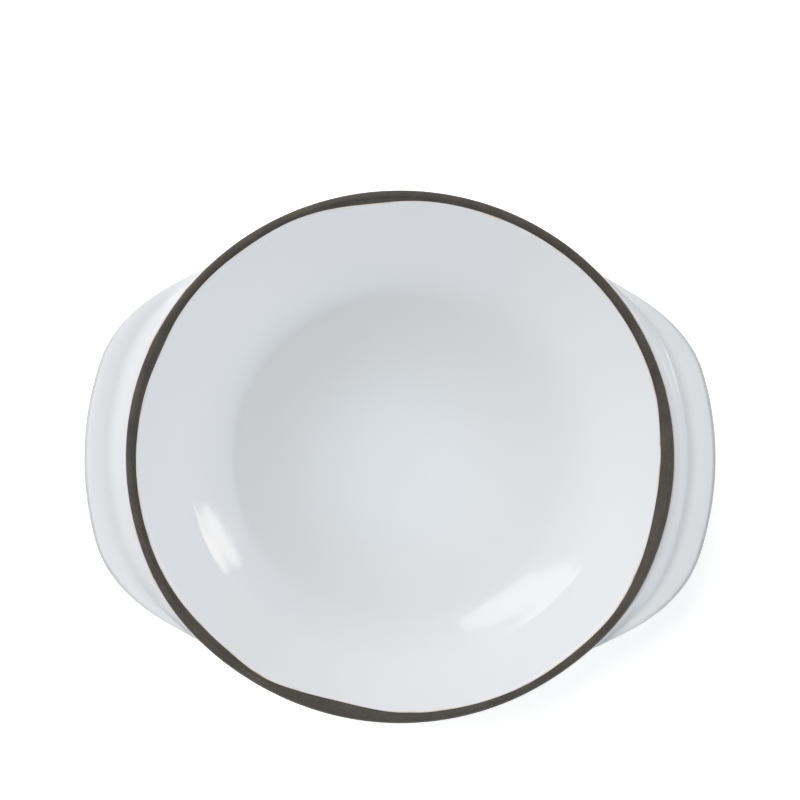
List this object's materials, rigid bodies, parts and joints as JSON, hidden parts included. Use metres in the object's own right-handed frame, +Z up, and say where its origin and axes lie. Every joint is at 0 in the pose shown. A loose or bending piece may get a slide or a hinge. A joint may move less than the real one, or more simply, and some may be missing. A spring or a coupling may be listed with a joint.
{
  "type": "mini casserole dish",
  "caption": "Small round ceramic casserole dish with side handles, white glaze inside and out, a bare dark rim and a turned foot ring.",
  "frame": {"origin": "centre of the foot ring's standing face", "axes": "+X through the handles, +Y across the dish, +Z up out of the bowl"},
  "size_m": [0.1504, 0.1266, 0.038],
  "materials": {
    "clay_body": "fired stoneware, matt",
    "bare_foot": "bare fired stoneware, ground flat",
    "bare_rim": "bare dark stoneware, matt",
    "white_glaze": "glossy cool white glaze"
  },
  "bodies": {
    "root": {"bowl_body": "clay_body", "left_handle": "clay_body", "right_handle": "clay_body", "foot_ring": "bare_foot", "rim_band": "bare_rim", "inner_glaze": "white_glaze", "outer_glaze": "white_glaze", "base_glaze": "white_glaze"}
  },
  "joints": []
}
